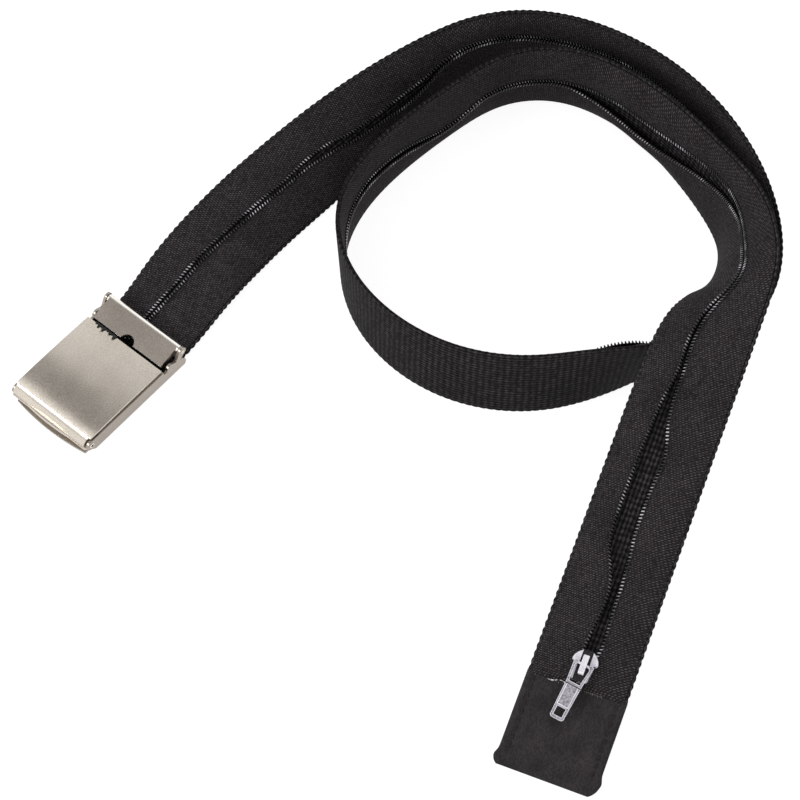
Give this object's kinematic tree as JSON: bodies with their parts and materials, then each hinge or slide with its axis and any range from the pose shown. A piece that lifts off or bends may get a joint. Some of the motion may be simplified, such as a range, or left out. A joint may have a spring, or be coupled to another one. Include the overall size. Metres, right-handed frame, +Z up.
{
  "type": "money belt",
  "caption": "Black webbing travel belt with a zipped money pocket along its inside and a flip-top clamp buckle, coiled once with its tail crossing over.",
  "frame": {"origin": "middle of the buckle frame's underside, on the surface the belt lies on", "axes": "+Z up, +X along the buckle toward the strap it holds, +Y across the buckle"},
  "size_m": [0.2823, 0.2799, 0.0531],
  "materials": {
    "webbing": "ribbed polyester webbing",
    "tape": "twill zip tape",
    "coil": "nylon coil with small glints",
    "cover_fabric": "plain weave",
    "thread": "pale stitching thread",
    "slider_metal": "bright zinc",
    "spring_steel": "satin",
    "tab_metal": "bright zinc",
    "frame_nickel": "satin nickel",
    "cover_nickel": "satin nickel",
    "pin_steel": "satin",
    "clip_nickel": "satin nickel"
  },
  "bodies": {
    "strap": {"outer_webbing": "webbing", "zip_tape_left": "tape", "zip_tape_right": "tape", "coil_left": "coil", "coil_right": "coil", "tip_cover": "cover_fabric", "stop_stitch": "thread", "buckle_frame": "frame_nickel", "cover_pin": "pin_steel", "clip_pin": "pin_steel"},
    "cover": {"flip_cover": "cover_nickel"},
    "clip": {"end_clip": "clip_nickel"},
    "slider": {"slider_body": "slider_metal", "slider_crown": "slider_metal", "lock_spring": "spring_steel"},
    "tab": {"pull_tab": "tab_metal"}
  },
  "joints": [
    {"name": "cover_flip", "type": "hinge", "parent": "strap", "child": "cover", "pos_m": [-0.027, 0, 0.0058], "axis": [0, -1, 0], "range_deg": [0, 110]},
    {"name": "clip_flip", "type": "hinge", "parent": "strap", "child": "clip", "pos_m": [0.0254, 0, 0.0106], "axis": [0, 1, 0], "range_deg": [0, 110]},
    {"name": "slider_slide", "type": "slide", "parent": "strap", "child": "slider", "axis": [0.9224, 0.3075, 0.2337], "range_m": [0, 0.08], "deforming": ["coil_left", "coil_right"]},
    {"name": "tab_swing", "type": "hinge", "parent": "slider", "child": "tab", "pos_m": [0.01772, -0.22743, 0.01745], "axis": [-0.1848, 0.9822, 0.0325], "range_deg": [0, 165]}
  ]
}
